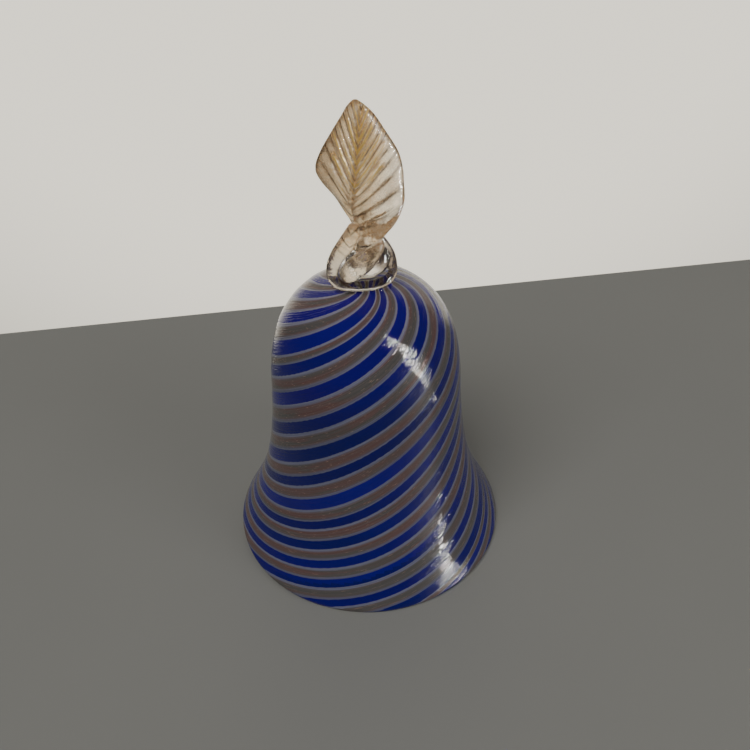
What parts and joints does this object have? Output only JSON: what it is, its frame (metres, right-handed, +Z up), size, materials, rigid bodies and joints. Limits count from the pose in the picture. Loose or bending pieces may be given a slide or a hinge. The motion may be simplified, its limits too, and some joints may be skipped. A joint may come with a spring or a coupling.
{
  "type": "table bell",
  "caption": "Blown glass table bell with spiral stripes, a twisted leaf handle and a glass clapper on a fine chain.",
  "frame": {"origin": "centre of the rim, on the surface that the bell stands on", "axes": "+Z up along the bell's axis, -Y towards the front of the leaf handle"},
  "size_m": [0.0854, 0.0854, 0.1404],
  "materials": {
    "striped_glass": "blown glass, cobalt blue and copper-flecked bands between milky threads, polished",
    "leaf_glass": "clear solid glass tinted amber, with flakes of gold leaf, tooled ribs",
    "clear_glass": "clear solid glass, fire polished",
    "clapper_glass": "solid blue glass, polished",
    "chain_brass": "drawn brass wire, lightly worn"
  },
  "bodies": {
    "bell": {"bell_cup": "striped_glass", "crown_pad": "clear_glass", "leaf_handle": "leaf_glass", "hanging_loop": "clear_glass"},
    "ring": {"jump_ring": "chain_brass"},
    "link_1": {"chain_link_1": "chain_brass"},
    "link_2": {"chain_link_2": "chain_brass"},
    "link_3": {"chain_link_3": "chain_brass"},
    "link_4": {"chain_link_4": "chain_brass"},
    "link_5": {"chain_link_5": "chain_brass"},
    "clapper": {"clapper_pin": "chain_brass", "clapper_cap": "chain_brass", "clapper_ball": "clapper_glass"}
  },
  "joints": [
    {"name": "ring_swing", "type": "hinge", "parent": "bell", "child": "ring", "pos_m": [0, 0, 0.07598], "axis": [1, 0, 0], "range_deg": [-23, 23]},
    {"name": "link_1_swing", "type": "hinge", "parent": "ring", "child": "link_1", "pos_m": [0, 0, 0.07153], "axis": [0, 1, 0], "range_deg": [-24, 24]},
    {"name": "link_2_swing", "type": "hinge", "parent": "link_1", "child": "link_2", "pos_m": [0, 0, 0.06588], "axis": [-1, 0, 0], "range_deg": [-28, 28]},
    {"name": "link_3_swing", "type": "hinge", "parent": "link_2", "child": "link_3", "pos_m": [0, 0, 0.06018], "axis": [0, -1, 0], "range_deg": [-32, 32]},
    {"name": "link_4_swing", "type": "hinge", "parent": "link_3", "child": "link_4", "pos_m": [0, 0, 0.05448], "axis": [1, 0, 0], "range_deg": [-38, 38]},
    {"name": "link_5_swing", "type": "hinge", "parent": "link_4", "child": "link_5", "pos_m": [0, 0, 0.04878], "axis": [0, 1, 0], "range_deg": [-42, 42]},
    {"name": "clapper_swing", "type": "hinge", "parent": "link_5", "child": "clapper", "pos_m": [0, 0, 0.04308], "axis": [-1, 0, 0], "range_deg": [-45, 45]}
  ]
}
